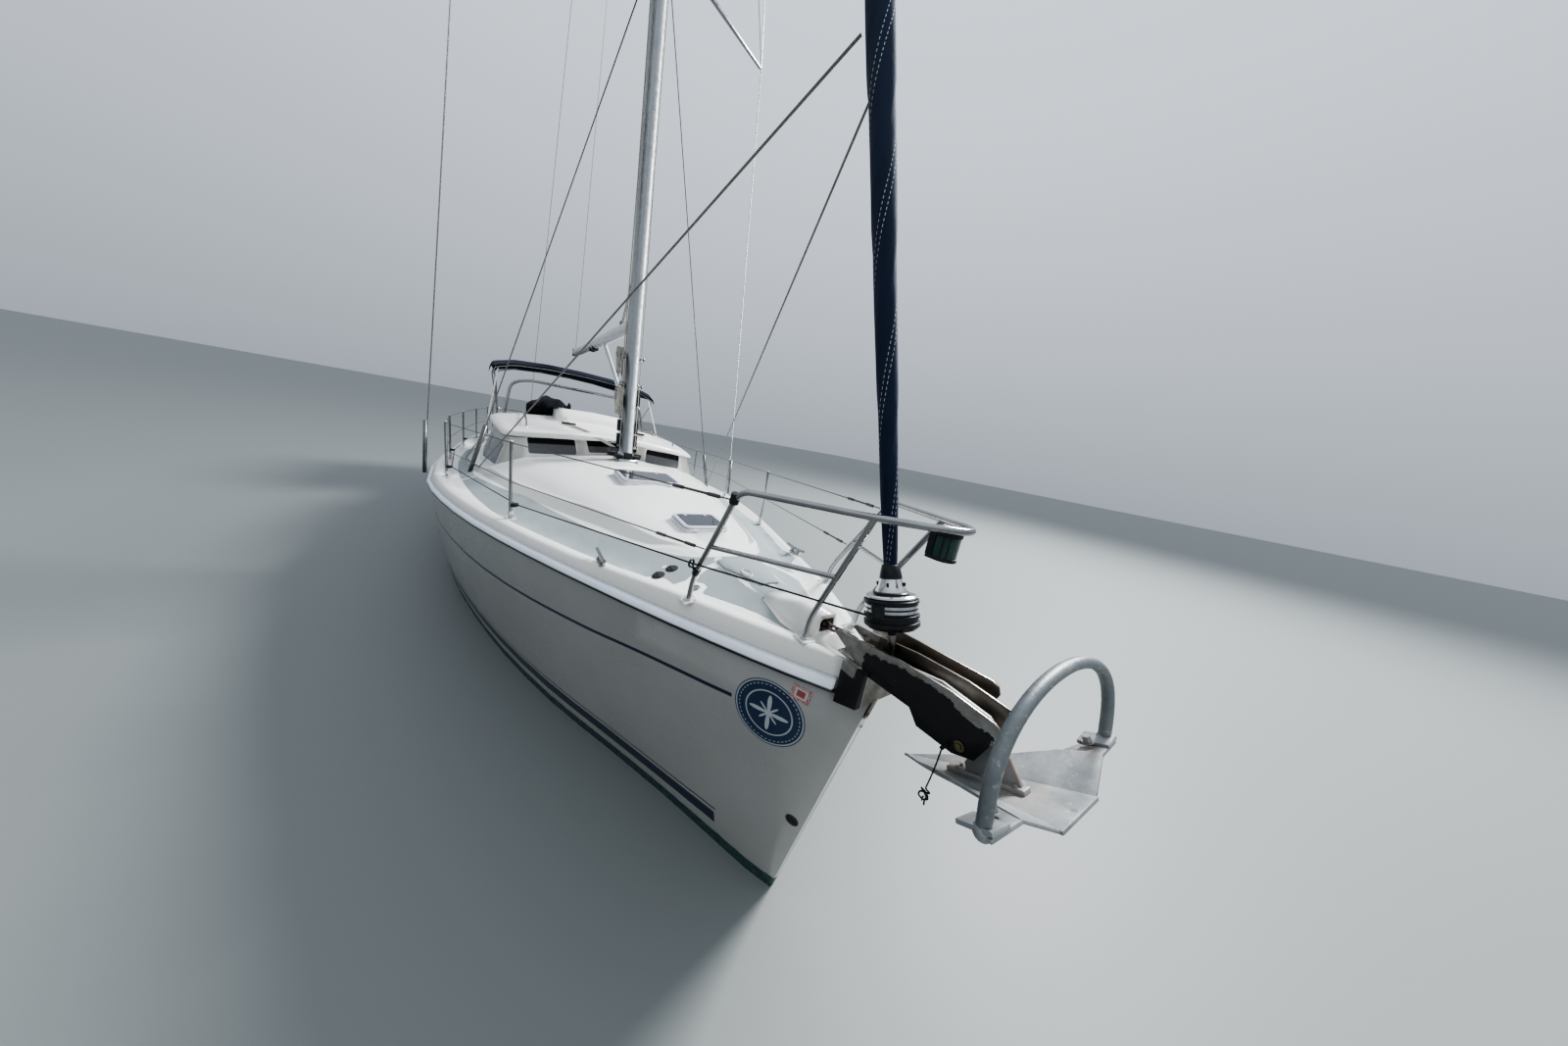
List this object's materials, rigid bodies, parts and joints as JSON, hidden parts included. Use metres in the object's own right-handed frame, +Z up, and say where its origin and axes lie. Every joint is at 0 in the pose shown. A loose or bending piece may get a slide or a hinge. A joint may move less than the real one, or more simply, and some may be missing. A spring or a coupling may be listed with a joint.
{
  "type": "sailing yacht",
  "caption": "Cruising sailing yacht afloat: white decked hull with keel and rudder, raised coachroof, furled sails, stainless rails, anchor on the bow roller, bimini over the cockpit.",
  "frame": {"origin": "on the water plane, on the centreline, amidships", "axes": "+X to the bow, +Y to port, +Z up"},
  "size_m": [12.9658, 4.15, 19.725],
  "materials": {
    "gelcoat_white": "gloss gelcoat",
    "nonskid_grey": "fine non-skid",
    "antifoul": "matt antifouling",
    "smoked_acrylic": "smoked, glossy",
    "stainless": "polished, lightly stained",
    "anodised": "satin anodised",
    "galvanised": "dull galvanised, rust-stained",
    "bronze": "weathered bronze",
    "canvas_navy": "woven acrylic canvas",
    "black_plastic": "satin",
    "rub_vinyl": "satin vinyl",
    "engine_paint": "satin paint",
    "cordage_black": "braided cord"
  },
  "bodies": {
    "yacht": {"hull": "gelcoat_white", "deck": "gelcoat_white", "coachroof": "gelcoat_white", "cockpit": "gelcoat_white", "steering_pedestal": "gelcoat_white", "keel": "antifoul", "window_front_starboard": "smoked_acrylic", "window_front_centre": "smoked_acrylic", "window_front_port": "smoked_acrylic", "window_side_starboard": "smoked_acrylic", "window_side_port": "smoked_acrylic", "bow_fitting": "stainless", "pulpit": "stainless", "lifelines_starboard": "stainless", "lifelines_port": "stainless", "pushpit_starboard": "stainless", "pushpit_port": "stainless", "arch": "stainless", "bimini_frame": "stainless", "cleat_bow_starboard": "stainless", "cleat_bow_port": "stainless", "cap_shroud_starboard": "stainless", "cap_shroud_port": "stainless", "lower_shroud_starboard": "stainless", "lower_shroud_port": "stainless", "forestay_head": "stainless", "mast": "anodised", "spreaders_lower": "anodised", "spreaders_upper": "anodised", "foredeck_hatch_frame": "anodised", "saloon_hatch_frame": "anodised", "anchor": "galvanised", "propeller_strut": "bronze", "bimini": "canvas_navy", "mainsail_furled": "canvas_navy", "bow_light": "black_plastic", "rub_rail_starboard": "rub_vinyl", "rub_rail_port": "rub_vinyl", "engine": "engine_paint", "lanyard": "cordage_black", "lanyard_knot": "cordage_black"},
    "rudder_blade": {"rudder": "antifoul"},
    "screw": {"propeller": "bronze"},
    "boom_spar": {"boom": "anodised"},
    "furler": {"furling_drum": "black_plastic", "headsail_furled": "canvas_navy"},
    "bow_roller": {"anchor_roller": "black_plastic"},
    "foredeck_hatch": {"foredeck_hatch_lid": "smoked_acrylic"},
    "saloon_hatch": {"saloon_hatch_lid": "smoked_acrylic"},
    "anchor_locker": {"anchor_locker_lid": "nonskid_grey"},
    "locker_starboard": {"cockpit_locker_lid_starboard": "nonskid_grey"},
    "locker_port": {"cockpit_locker_lid_port": "nonskid_grey"},
    "sliding_hatch": {"companionway_slide": "smoked_acrylic"},
    "cabin_door": {"companionway_door": "smoked_acrylic"},
    "helm_wheel": {"steering_wheel": "stainless"},
    "winch_starboard": {"primary_winch_starboard": "stainless"},
    "winch_port": {"primary_winch_port": "stainless"},
    "gate": {"stern_gate": "gelcoat_white"},
    "ladder": {"swim_ladder": "stainless"}
  },
  "joints": [
    {"name": "rudder_turn", "type": "hinge", "parent": "yacht", "child": "rudder_blade", "pos_m": [-5.2, 0, -0.9], "axis": [0, 0, 1], "range_deg": [-35, 35]},
    {"name": "wheel_turn", "type": "hinge", "parent": "yacht", "child": "helm_wheel", "pos_m": [-4.44, 0, 1.48], "axis": [1, 0, 0], "range_deg": [-420, 420]},
    {"name": "screw_turn", "type": "hinge", "parent": "yacht", "child": "screw", "pos_m": [-2.96, 0, -0.395], "axis": [-0.9819, 0, -0.1895], "continuous": true},
    {"name": "boom_swing", "type": "hinge", "parent": "yacht", "child": "boom_spar", "pos_m": [1.53, 0, 3.43], "axis": [0, 0, 1], "range_deg": [-60, 60]},
    {"name": "furler_turn", "type": "hinge", "parent": "yacht", "child": "furler", "pos_m": [6.075, 0, 1.7], "axis": [-0.3091, 0, 0.951], "continuous": true},
    {"name": "bow_roller_turn", "type": "hinge", "parent": "yacht", "child": "bow_roller", "pos_m": [6.43, 0, 1.6], "axis": [0, 1, 0], "continuous": true},
    {"name": "foredeck_hatch_hinge", "type": "hinge", "parent": "yacht", "child": "foredeck_hatch", "pos_m": [4.37797, 0, 1.66122], "axis": [0, 1, 0], "range_deg": [0, 95]},
    {"name": "saloon_hatch_hinge", "type": "hinge", "parent": "yacht", "child": "saloon_hatch", "pos_m": [3.01279, 0, 1.73792], "axis": [0, 1, 0], "range_deg": [0, 95]},
    {"name": "anchor_locker_hinge", "type": "hinge", "parent": "yacht", "child": "anchor_locker", "pos_m": [4.86, 0, 1.626], "axis": [0, -1, 0], "range_deg": [0, 90]},
    {"name": "locker_starboard_hinge", "type": "hinge", "parent": "yacht", "child": "locker_starboard", "pos_m": [-3.375, -1.1, 1.004], "axis": [1, 0, 0], "range_deg": [0, 80]},
    {"name": "locker_port_hinge", "type": "hinge", "parent": "yacht", "child": "locker_port", "pos_m": [-3.375, 1.1, 1.004], "axis": [-1, 0, 0], "range_deg": [0, 80]},
    {"name": "sliding_hatch_travel", "type": "slide", "parent": "yacht", "child": "sliding_hatch", "axis": [1, 0, 0], "range_m": [0, 0.74]},
    {"name": "cabin_door_hinge", "type": "hinge", "parent": "yacht", "child": "cabin_door", "pos_m": [-1.956, -0.331, 1.6], "axis": [0, 0, 1], "range_deg": [0, 90]},
    {"name": "winch_starboard_turn", "type": "hinge", "parent": "yacht", "child": "winch_starboard", "pos_m": [-3, -1.25, 1.5], "axis": [0, 0, 1], "continuous": true},
    {"name": "winch_port_turn", "type": "hinge", "parent": "yacht", "child": "winch_port", "pos_m": [-3, 1.25, 1.5], "axis": [0, 0, 1], "continuous": true},
    {"name": "gate_hinge", "type": "hinge", "parent": "yacht", "child": "gate", "pos_m": [-5.27, 0, 1.018], "axis": [0, -1, 0], "range_deg": [0, 90]},
    {"name": "ladder_hinge", "type": "hinge", "parent": "yacht", "child": "ladder", "pos_m": [-6.222, 0, 0.33], "axis": [0, -1, 0], "range_deg": [0, 170]}
  ],
  "couplings": [
    {"joint": "wheel_turn", "follows": "rudder_turn", "ratio": 12}
  ]
}
